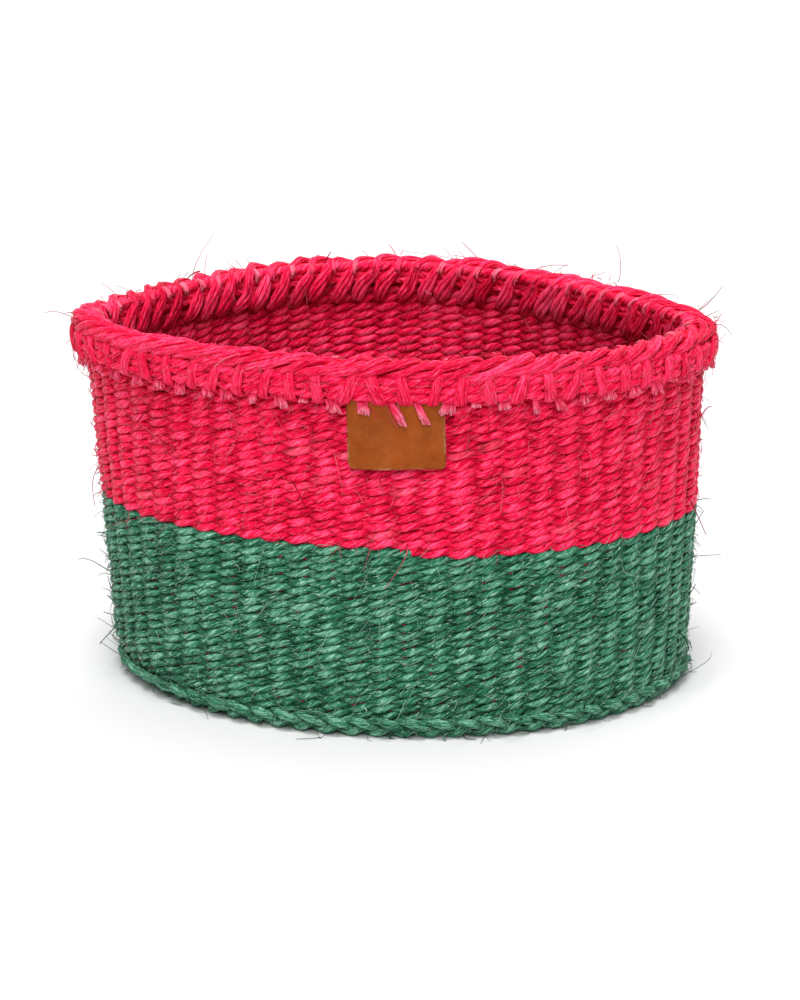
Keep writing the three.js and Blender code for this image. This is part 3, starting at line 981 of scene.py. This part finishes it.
class BASKET_OT_foot_plait(bpy.types.Operator):
    """Plaits the foot: one cord of four yarns that goes three times round"""

    bl_idname = "basket.foot_plait"
    bl_label = "Foot plait"

    def execute(self, context):
        basket = Basket.of(context)
        rounds = 3
        steps = 8               # to a column
        stride = 3              # columns to one turn of the plait
        column = np.arange(rounds * COLUMNS * steps) / steps
        turn = 2 * math.pi * column / stride
        uneven = basket.stitch(column, column / COLUMNS * 1.3 + 40)
        radius = (1.55 + 0.22 * uneven - 0.25 * np.sin(2 * turn)) * MM
        height = (4.1 + 2.4 * np.sin(turn) + 0.3 * basket.drift(column, 60)) * MM
        height = np.maximum(height, radius + 0.02 * MM)
        weave = 0.9 * np.sin(turn) - 1.25 * np.sin(2 * turn)
        out = (2.2 + weave + 0.35 * basket.drift(column, 70)) * MM
        run = basket.wall.place(column, height, out)
        crossing = np.round(2 * column / stride) * stride / 2
        tone = 0.6 * basket.stitch_two(crossing, column / COLUMNS + 20)
        # Painted shade where each yarn dips in towards the wall and thins
        tone -= 0.9 * (0.5 + 0.5 * np.sin(2 * turn)) - 0.3
        cords = twisted(run, basket.face(column, height), radius, 4, 38, tone, closed=True)
        piece = cord_piece("foot_cords", cords, sides=6, lay=-16 * MM)
        dress(piece, basket.green, "green_sisal", "foot_plait")
        return {"FINISHED"}


class BASKET_OT_rim_lashing(bpy.types.Operator):
    """Lays each warp's bundle along the rim, over it and down inside"""

    bl_idname = "basket.rim_lashing"
    bl_label = "Rim lashing"

    def execute(self, context):
        basket = Basket.of(context)
        chance = np.random.default_rng(basket.weave.seed + 20)
        steps = 40
        share = np.linspace(0, 1, steps)
        flat = np.clip((share - 0.67) / 0.14, 0, 1)
        swelling = 0.3 * np.clip((share - 0.35) * 4, 0, 1) + 0.35 * flat
        tapering = 0.8 * np.clip((share - 0.9) / 0.1, 0, 1) + 0.5 * np.clip((0.12 - share) / 0.12, 0, 1)
        cords = []
        for number in range(COLUMNS):
            bend = smooth_run(LASHING_ROUTE, steps)
            wobble = smooth_run(chance.normal(0, 1, (7, 3)) * (0.09, 0.4, 0.45), steps)
            column = number + bend[:, 0] + wobble[:, 0] + chance.normal(0, 0.05)
            out = (bend[:, 1] + wobble[:, 1] * 0.7) * MM
            height = RIM_TOP - (bend[:, 2] - wobble[:, 2]) * MM
            run = basket.place(column, height, out)
            ahead = basket.place(column + 0.3, height, out)
            size = (1.6 + swelling - tapering + chance.normal(0, 0.18)) * MM
            cords += twisted(
                run, ahead - run, size, 6, chance.uniform(0.3, 0.9), chance.normal(0, 0.5),
                start=chance.uniform(), flat=flat)
        piece = cord_piece("rim_lashing", cords, sides=5, lay=-22 * MM)
        dress(piece, basket.pink, "pink_sisal", "rim_braid", "rim_inner_wraps")

        core = []
        column = np.arange(COLUMNS * 8) / 8
        for outside, drop, size, turns in CORE_CORDS:
            uneven = basket.stitch(column, 80 + turns)
            height = RIM_TOP - (drop - 0.3 * uneven) * MM
            out = (outside + 0.3 * basket.lean(column, 70 + turns)) * MM
            run = basket.place(column, height, out)
            guides = basket.face(column, height)
            core += twisted(run, guides, size * MM, 3, turns, 0.5 * uneven, closed=True)
        piece = cord_piece("rim_core", core, sides=6, lay=-20 * MM)
        dress(piece, basket.pink, "pink_sisal")

        knots = []
        for number in range(COLUMNS):
            bend = smooth_run(KNOT_ROUTE, 12)
            middle = number + 0.42 + chance.normal(0, 0.08)
            spread = chance.uniform(0.04, 0.11)
            bleach = max(chance.uniform(-0.25, 0.5), 0)
            for _ in range(9):
                kept = chance.integers(8, 13)
                column = middle + bend[:kept, 0] + spread * chance.uniform(-1, 1)
                out = (bend[:kept, 1] + chance.normal(0, 0.25)) * MM
                height = RIM_TOP - (bend[:kept, 2] - chance.normal(0, 0.2)) * MM
                run = basket.place(column, height, out)
                knots.append(Cord(run, chance.uniform(0.35, 0.5) * MM, chance.normal(0.9, 0.5), bleach))
        piece = cord_piece("rim_knots", knots, sides=5, lay=-22 * MM)
        dress(piece, basket.pink, "pink_sisal")
        return {"FINISHED"}


class BASKET_OT_rim_band(bpy.types.Operator):
    """Lays three cords round under the rim, tied on by a loop at each warp"""

    bl_idname = "basket.rim_band"
    bl_label = "Rim band"

    def execute(self, context):
        basket = Basket.of(context)
        chance = np.random.default_rng(basket.weave.seed + 40)
        column = np.arange(COLUMNS * 8) / 8
        pinch = np.cos(2 * math.pi * (column - 0.5)) * 0.5 + 0.5
        cords = []
        for drop, turns, row in BAND_CORDS:
            height = RIM_TOP - (drop - 0.3 * basket.lean(column, 50 + row)) * MM
            out = (3.6 + 0.9 * pinch + 0.35 * basket.stitch(column, 55 + row)) * MM
            run = basket.place(column, height, out)
            size = (1.5 + 0.6 * pinch + 0.2 * basket.lean(column, 64 + row)) * MM
            tone = 0.6 * basket.stitch(np.floor(column), 58.5 + row)
            cords += twisted(run, basket.face(column, height), size, 3, turns, tone, closed=True)
        piece = cord_piece("rim_band_cords", cords, sides=6, lay=-20 * MM)
        dress(piece, basket.pink, "pink_sisal", "rim_outer_band")

        loops = []
        steps = 18
        share = np.linspace(0, 1, steps)
        loop_middle = 11.5
        for number in range(COLUMNS):
            slant = chance.normal(0, 0.07)
            bend = smooth_run(LOOP_ROUTE, steps)
            leaning = slant * (loop_middle - bend[:, 2]) / 3
            column = number + bend[:, 0] + leaning + chance.normal(0, 0.04)
            height = RIM_TOP - bend[:, 2] * MM
            out = (bend[:, 1] + chance.normal(0, 0.12)) * MM
            run = basket.place(column, height, out)
            ahead = basket.place(column + 0.3, height, out)
            width = (0.95 + 0.7 * share + chance.normal(0, 0.15)) * MM
            loops += ribbon(run, ahead - run, width, 0.7 * MM, 4, chance.normal(0.1, 0.3))
        piece = cord_piece("rim_band_loops", loops, sides=6, lay=-20 * MM)
        dress(piece, basket.pink, "pink_sisal")
        return {"FINISHED"}


class BASKET_OT_cut_ends(bpy.types.Operator):
    """Frays the cut ends of the warps, which show under the band"""

    bl_idname = "basket.cut_ends"
    bl_label = "Cut ends"

    def execute(self, context):
        basket = Basket.of(context)
        chance = np.random.default_rng(basket.weave.seed + 60)
        cords = []
        tab_middle = (basket.tab[0].x + basket.tab[1].x) / 2
        tab_reach = 40 * MM     # how far beside the tab the ends are still longer and paler
        band_foot = RIM_TOP - 14.5 * MM
        fibres_in_end = 34
        leaning_length = 5.4    # mm, from which an end leans over
        for number in range(COLUMNS):
            length, width, bleach = CUT_KINDS[chance.choice(4, p=CUT_SHARES)]
            middle = number + 0.45 + chance.normal(0, 0.07)
            aside = basket.place(middle, RIM_TOP - 18.5 * MM, 0.0)[0] - tab_middle
            near_tab = math.exp(-(aside / tab_reach) ** 2) if number < FRONT_COLUMNS else 0.0
            length *= chance.uniform(0.75, 1.15) * (0.72 + 0.28 * near_tab)
            width *= chance.uniform(0.7, 1.2) * (0.75 + 0.2 * near_tab)
            bleach *= 0.5 + 0.5 * near_tab
            lean = chance.normal(0.1, 0.2) + (0.4 if length > leaning_length else 0)
            steps = np.linspace(0, 1, 5)
            for _ in range(fibres_in_end):
                side = chance.uniform(-1, 1)
                down = length * chance.uniform(0.7, 1.15)
                splay = side * width * (0.85 + 0.3 * steps ** 2) + lean * down * steps
                column = middle + splay / COLUMN_WIDTH
                proud = 4.3 + 0.9 * steps + chance.uniform(-0.7, 0.5) + chance.normal(0, 0.3) * steps
                run = basket.place(column, band_foot - down * steps * MM, proud * MM)
                pale = np.clip((steps - 0.4) * 1.8, 0, 1) * (bleach + chance.normal(0, 0.35))
                cords.append(Cord(run, chance.uniform(0.26, 0.44) * MM, chance.normal(1.2, 0.6), pale))
            steps = np.linspace(0, 1, 9)
            for _ in range(chance.integers(0, 3)):
                length = chance.uniform(3, 10)
                bow = chance.normal(0, 0.5) * steps + chance.normal(0, 0.6) * steps ** 2
                column = middle + chance.normal(0, 0.15) + length * bow / COLUMN_WIDTH
                out = (4.6 + chance.uniform(0.5, 2.5) * np.sin(2.2 * steps)) * MM
                run = basket.place(column, band_foot + (0.5 - length * steps) * MM, out)
                cords.append(Cord(run, (0.15 - 0.06 * steps) * MM, chance.normal(-1.0, 1.0)))
        piece = cord_piece("cut_ends", cords, sides=4)
        dress(piece, basket.pink, "pink_sisal")
        return {"FINISHED"}


class BASKET_OT_leather_tab(bpy.types.Operator):
    """Cuts the leather tab and hangs it under the rim"""

    bl_idname = "basket.leather_tab"
    bl_label = "Leather tab"

    def execute(self, context):
        basket = Basket.of(context)
        low, high = basket.tab
        half_width = (high.x - low.x) / 2 - 1.0 * MM
        middle = (high.x + low.x) / 2 - 1.2 * MM
        half_height = (high.z - low.z) / 2
        corner = 2.2 * MM
        worn = 1.6 * MM
        slant = 0.03
        shape = bmesh.new()
        bmesh.ops.create_grid(shape, x_segments=68, y_segments=58, size=1.0)
        edge_layer = shape.verts.layers.float.new("edge")
        columns = np.linspace(0, FRONT_COLUMNS, 400)
        for vertex in shape.verts:
            x = vertex.co.x * half_width
            z = vertex.co.y * half_height
            past_x = (abs(x) - (half_width - corner)) / corner
            past_z = (-z - (half_height - corner)) / corner
            vertex[edge_layer] = max(
                1 - (half_width - abs(x)) / worn, 1 - (half_height + z) / worn, 0)
            if past_x > 0 and past_z > 0:
                round_x = past_x * math.sqrt(1 - past_z ** 2 / 2)
                round_z = past_z * math.sqrt(1 - past_x ** 2 / 2)
                x = math.copysign(half_width - corner + corner * round_x, x)
                z = -(half_height - corner + corner * round_z)
            x += slant * (half_height - z)
            drop = (half_height - z) / (2 * half_height)
            z += 0.22 * MM * math.sin(x / (5.2 * MM)) * drop
            height = low.z + half_height + z
            level = basket.wall.middle(columns, np.full(len(columns), height))
            column = float(np.interp(middle + x, level[:, 0], columns))
            curl = 0.5 * drop ** 3 * math.cos(x / (9 * MM) + 0.8)
            out = (3.3 + 0.5 * drop + curl) * MM
            vertex.co = Vector(basket.place(column, height, out).tolist())
        mesh = bpy.data.meshes.new("leather_tab_hide")
        shape.to_mesh(mesh)
        shape.free()
        for face in mesh.polygons:
            face.use_smooth = True
        piece = bpy.data.objects.new("leather_tab_hide", mesh)
        context.scene.collection.objects.link(piece)
        thick = piece.modifiers.new("Thickness", "SOLIDIFY")
        thick.thickness = 1.5 * MM
        thick.offset = 0
        round_edge = piece.modifiers.new("Round edge", "BEVEL")
        round_edge.width = 0.35 * MM
        round_edge.segments = 3
        round_edge.limit_method = "ANGLE"
        round_edge.angle_limit = math.radians(50)
        dress(piece, basket.leather, "tan_leather", "leather_tab")
        return {"FINISHED"}


def lying_fibres(basket, chance, count, heights, reach, sides_out=1.0):
    """Thin loose fibres that lie along the surface. Heights and reach out are in mm."""
    cords = []
    for _ in range(count):
        length = chance.uniform(1.2, 5.5)
        turn = chance.normal(0.3, 0.7)
        steps = np.linspace(0, 1, 7)
        bend = chance.normal(0, 0.9) * steps ** 2
        along = length * (steps * math.cos(turn) + bend * 0.4)
        column = chance.uniform(0, COLUMNS) + along / COLUMN_WIDTH
        height = chance.uniform(*heights) + length * (steps * math.sin(turn) + bend)
        height = np.clip(height, 0.5, heights[1] + 3) * MM
        lift = chance.uniform(0, 0.5) + chance.uniform(0, 0.8) * np.sin(steps * math.pi)
        if basket.under_tab(column[0], height[0]):
            continue
        run = basket.place(column, height, sides_out * (reach + lift) * MM)
        thin = chance.uniform(0.05, 0.12) * MM
        cords.append(Cord(run, thin, chance.normal(0.8, 0.5), chance.uniform(0, 0.6)))
    return cords


def stray_fibres(basket, chance, count, heights, reach, sides_out=1.0, longest=18.0):
    """Thin loose fibres that stand off the surface and curl. Heights and reach are in mm."""
    cords = []
    for _ in range(count):
        column = chance.uniform(0, COLUMNS)
        height = chance.uniform(*heights) * MM
        length = chance.gamma(1.2, 2.0) + 0.9
        if chance.uniform() < 0.04:
            length += chance.uniform(4, 13)
        length = min(length, longest) * MM
        steps = np.linspace(0, 1, 8)
        swing = chance.normal(0, 0.75)
        rise = chance.normal(0, 0.65)
        curl = chance.normal(0, 0.35)
        along = (swing * steps + curl * steps ** 2) * length
        up = (rise * steps + chance.normal(0, 0.3) * steps ** 2 - 0.12 * steps ** 3) * length
        away = chance.uniform(0.15, 0.95) * length * steps ** chance.uniform(0.6, 1.1)
        out = (reach * MM + away) * sides_out
        if basket.under_tab(column, height):
            continue
        levels = np.clip(height + up, 0.4 * MM, RIM_TOP + 11.5 * MM)
        run = basket.place(column + along / (COLUMN_WIDTH * MM), levels, out)
        thin = (0.12 + chance.gamma(1.0, 0.06)) * MM * (1 - 0.45 * steps)
        tone = chance.normal(-1.2, 1.2)
        cords.append(Cord(run, thin, tone, np.clip(chance.normal(-0.2, 0.4), 0, 1)))
    return cords


class BASKET_OT_stray_fibres(bpy.types.Operator):
    """Adds the loose fibres of the hand-spun cords"""

    bl_idname = "basket.stray_fibres"
    bl_label = "Stray fibres"

    def execute(self, context):
        basket = Basket.of(context)
        chance = np.random.default_rng(basket.weave.seed + 80)
        change = COLOUR_HEIGHT / MM
        top = RIM_TOP / MM
        rim = top - 16.5
        foot = 9
        green = stray_fibres(basket, chance, 900, (foot, change), 2.1)
        green += stray_fibres(basket, chance, 620, (1, foot), 3.4)
        green += stray_fibres(basket, chance, 160, (foot, change), 2.1, -1.0, 8.0)
        pale_green = lying_fibres(basket, chance, 900, (foot - 3, change - 2), 2.3)
        pale_green += lying_fibres(basket, chance, 380, (1, foot - 1), 3.8)
        pink = stray_fibres(basket, chance, 800, (change, rim), 2.1)
        pink += stray_fibres(basket, chance, 240, (change, rim), 2.1, -1.0, 8.0)
        pink += stray_fibres(basket, chance, 340, (rim + 1, top), 5.0)
        pink += stray_fibres(basket, chance, 260, (rim + 8, top), 0.5)
        pink += stray_fibres(basket, chance, 160, (rim, top), 4.5, -1.0, 9.0)
        pale_pink = lying_fibres(basket, chance, 700, (change, rim), 2.3)
        pale_pink += lying_fibres(basket, chance, 360, (change, rim - 2), 2.3, -1.0)
        pale_pink += lying_fibres(basket, chance, 160, (rim + 1, top - 3), 6.4)
        for name, cords, material, slot in (
                ("green_fibres", green, basket.green, "green_sisal"),
                ("pale_green_fibres", pale_green, basket.green_hair, "green_sisal"),
                ("pink_fibres", pink, basket.pink, "pink_sisal"),
                ("pale_pink_fibres", pale_pink, basket.pink_hair, "pink_sisal")):
            dress(cord_piece(name, cords, sides=3), material, slot)
        return {"FINISHED"}


class BASKET_PT_pieces(bpy.types.Panel):
    """The basket's pieces and sizes"""

    bl_label = "Twined basket"
    bl_idname = "BASKET_PT_pieces"
    bl_space_type = "VIEW_3D"
    bl_region_type = "UI"
    bl_category = "Basket"

    def draw(self, context):
        layout = self.layout
        scene = context.scene
        for group in (scene.basket_shape, scene.basket_weave, scene.basket_colours):
            box = layout.box()
            for key in group.bl_rna.properties.keys():
                if key not in ("rna_type", "name"):
                    box.prop(group, key)
        for name in STEPS:
            layout.operator(f"basket.{name}")


STEPS = (
    "stage",
    "warps",
    "base_weft",
    "wall_weft",
    "foot_plait",
    "rim_lashing",
    "rim_band",
    "cut_ends",
    "leather_tab",
    "stray_fibres",
)
CLASSES = (
    BasketShape,
    BasketWeave,
    BasketColours,
    BASKET_OT_stage,
    BASKET_OT_warps,
    BASKET_OT_base_weft,
    BASKET_OT_wall_weft,
    BASKET_OT_foot_plait,
    BASKET_OT_rim_lashing,
    BASKET_OT_rim_band,
    BASKET_OT_cut_ends,
    BASKET_OT_leather_tab,
    BASKET_OT_stray_fibres,
    BASKET_PT_pieces,
)


def register():
    """Adds the classes, and the sizes and colours to the scene."""
    for kind in CLASSES:
        bpy.utils.register_class(kind)
    bpy.types.Scene.basket_shape = PointerProperty(type=BasketShape)
    bpy.types.Scene.basket_weave = PointerProperty(type=BasketWeave)
    bpy.types.Scene.basket_colours = PointerProperty(type=BasketColours)


def unregister():
    """Takes out again what register adds."""
    del bpy.types.Scene.basket_colours
    del bpy.types.Scene.basket_weave
    del bpy.types.Scene.basket_shape
    for kind in reversed(CLASSES):
        bpy.utils.unregister_class(kind)


def main():
    """Makes the whole basket, piece by piece."""
    register()
    for name in STEPS:
        getattr(bpy.ops.basket, name)()


if __name__ == "__main__":
    main()
